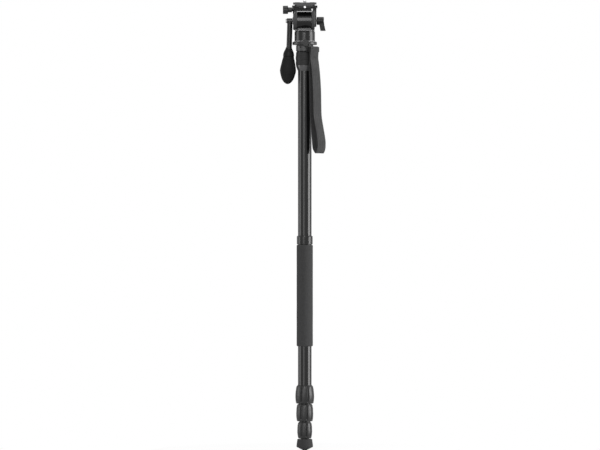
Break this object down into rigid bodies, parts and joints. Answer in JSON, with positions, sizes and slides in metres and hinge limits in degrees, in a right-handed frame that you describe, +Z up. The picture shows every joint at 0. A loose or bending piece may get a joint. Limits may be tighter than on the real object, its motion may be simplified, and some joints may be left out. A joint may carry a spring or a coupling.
{
  "type": "monopod with pan and tilt head",
  "caption": "Collapsed telescopic camera support: fluted twist locks, foam grip and centre column under a pan and tilt head with quick-release clamp, handle and wrist strap.",
  "frame": {"origin": "centre of the rubber foot's flat tip, on the column's axis", "axes": "+Z up along the column's axis towards the camera screw; -Y towards the side with the pan lock knob; +X towards the tilt lever"},
  "size_m": [0.0924, 0.0653, 0.9186],
  "materials": {
    "tube": "glossy black anodised",
    "gloss_black": "glossy black anodised",
    "satin_black": "satin black anodised",
    "alloy": "machined",
    "steel": "plated",
    "bracket": "black coated steel",
    "brass": "machined",
    "bearing_plastic": "acetal",
    "knob_plastic": "moulded black",
    "rubber": "matte",
    "grip_rubber": "matte",
    "foot_rubber": "matte",
    "foam": "closed-cell foam",
    "webbing": "woven webbing"
  },
  "bodies": {
    "column": {"column_tube": "tube", "column_top_casting": "gloss_black", "column_sleeve": "rubber", "mounting_platform": "satin_black", "platform_grub_screws": "steel", "head_stud": "steel", "strap_bracket": "bracket", "pan_base": "satin_black", "pan_washer": "bearing_plastic", "pan_nut": "steel", "column_end_ferrule": "alloy", "coupling_stud": "steel", "leg_top_collar": "gloss_black", "leg_tube_upper": "tube", "foam_grip": "foam", "lock_ferrule_upper": "alloy", "collet_upper": "bearing_plastic"},
    "upper_lock": {"lock_nut_upper": "satin_black", "lock_grip_upper": "rubber"},
    "second_leg": {"leg_tube_second": "tube", "shim_second": "bearing_plastic", "lock_ferrule_middle": "alloy", "collet_middle": "bearing_plastic"},
    "middle_lock": {"lock_nut_middle": "satin_black", "lock_grip_middle": "rubber"},
    "third_leg": {"leg_tube_third": "tube", "shim_third": "bearing_plastic", "lock_ferrule_lower": "alloy", "collet_lower": "bearing_plastic"},
    "lower_lock": {"lock_nut_lower": "satin_black", "lock_grip_lower": "rubber"},
    "fourth_leg": {"leg_tube_fourth": "tube", "shim_fourth": "bearing_plastic", "foot_plug": "alloy", "rubber_foot": "foot_rubber"},
    "strap": {"wrist_strap": "webbing"},
    "head_pan": {"pan_neck": "gloss_black", "tilt_housing": "satin_black", "drum_caps": "satin_black", "drag_cartridge": "bearing_plastic", "tilt_axle": "steel"},
    "pan_lock": {"pan_lock_knob": "knob_plastic", "pan_lock_screw": "steel"},
    "head_tilt": {"tilt_yoke": "satin_black", "axle_bushes": "brass"},
    "jaw": {"clamp_jaw": "satin_black", "jaw_guide_pins": "steel"},
    "jaw_knob": {"clamp_knob": "knob_plastic", "clamp_screw": "steel"},
    "plate": {"plate_body": "satin_black", "plate_pads": "rubber", "plate_stop_screws": "steel"},
    "tripod_screw": {"camera_screw": "steel"},
    "tilt_insert": {"tilt_lock_insert": "brass", "tilt_lever_screw": "steel"},
    "tilt_lever": {"tilt_lock_lever": "knob_plastic"},
    "handle": {"handle_rod": "satin_black", "handle_ferrule": "grip_rubber", "handle_grip": "grip_rubber", "handle_bolt": "steel"}
  },
  "joints": [
    {"name": "upper_lock_twist", "type": "hinge", "parent": "column", "child": "upper_lock", "pos_m": [0, 0, 0.11], "axis": [0, 0, 1], "range_deg": [0, 120]},
    {"name": "second_leg_slide", "type": "slide", "parent": "column", "child": "second_leg", "axis": [0, 0, -1], "range_m": [0, 0.26]},
    {"name": "middle_lock_twist", "type": "hinge", "parent": "second_leg", "child": "middle_lock", "pos_m": [0, 0, 0.075], "axis": [0, 0, 1], "range_deg": [0, 120]},
    {"name": "third_leg_slide", "type": "slide", "parent": "second_leg", "child": "third_leg", "axis": [0, 0, -1], "range_m": [0, 0.26]},
    {"name": "lower_lock_twist", "type": "hinge", "parent": "third_leg", "child": "lower_lock", "pos_m": [0, 0, 0.04], "axis": [0, 0, 1], "range_deg": [0, 120]},
    {"name": "fourth_leg_slide", "type": "slide", "parent": "third_leg", "child": "fourth_leg", "axis": [0, 0, -1], "range_m": [0, 0.26]},
    {"name": "strap_swing", "type": "hinge", "parent": "column", "child": "strap", "pos_m": [0.01861, -0.01562, 0.8209], "axis": [-0.6428, -0.766, 0], "range_deg": [0, 60]},
    {"name": "head_pan_turn", "type": "hinge", "parent": "column", "child": "head_pan", "pos_m": [0, 0, 0.84], "axis": [0, 0, 1], "range_deg": [-160, 60]},
    {"name": "pan_lock_turn", "type": "hinge", "parent": "column", "child": "pan_lock", "pos_m": [0.00131, -0.02497, 0.83045], "axis": [0.0523, -0.9986, 0], "range_deg": [0, 360]},
    {"name": "head_tilt_turn", "type": "hinge", "parent": "head_pan", "child": "head_tilt", "pos_m": [0, 0, 0.8765], "axis": [1, 0, 0], "range_deg": [-75, 75]},
    {"name": "jaw_slide", "type": "slide", "parent": "head_tilt", "child": "jaw", "axis": [-1, 0, 0], "range_m": [0, 0.0036]},
    {"name": "jaw_knob_turn", "type": "hinge", "parent": "jaw", "child": "jaw_knob", "pos_m": [-0.03, 0, 0.8991], "axis": [-1, 0, 0], "range_deg": [0, 1800]},
    {"name": "plate_slide", "type": "slide", "parent": "head_tilt", "child": "plate", "axis": [0, -1, 0], "range_m": [-0.0027, 0.0027]},
    {"name": "tripod_screw_turn", "type": "hinge", "parent": "plate", "child": "tripod_screw", "pos_m": [0, 0, 0.905], "axis": [0, 0, 1], "continuous": true},
    {"name": "tilt_insert_turn", "type": "hinge", "parent": "head_pan", "child": "tilt_insert", "pos_m": [0.026, 0, 0.8765], "axis": [1, 0, 0], "range_deg": [0, 90]},
    {"name": "tilt_lever_pull", "type": "slide", "parent": "tilt_insert", "child": "tilt_lever", "axis": [1, 0, 0], "range_m": [0, 0.002], "stiffness_N_per_m": 900, "springref_m": -0.003},
    {"name": "handle_swing", "type": "hinge", "parent": "head_tilt", "child": "handle", "pos_m": [-0.0301, 0, 0.8765], "axis": [1, 0, 0], "range_deg": [-125, 125]}
  ],
  "couplings": [
    {"joint": "jaw_slide", "follows": "jaw_knob_turn", "m_per_rad": 0.0001114}
  ]
}
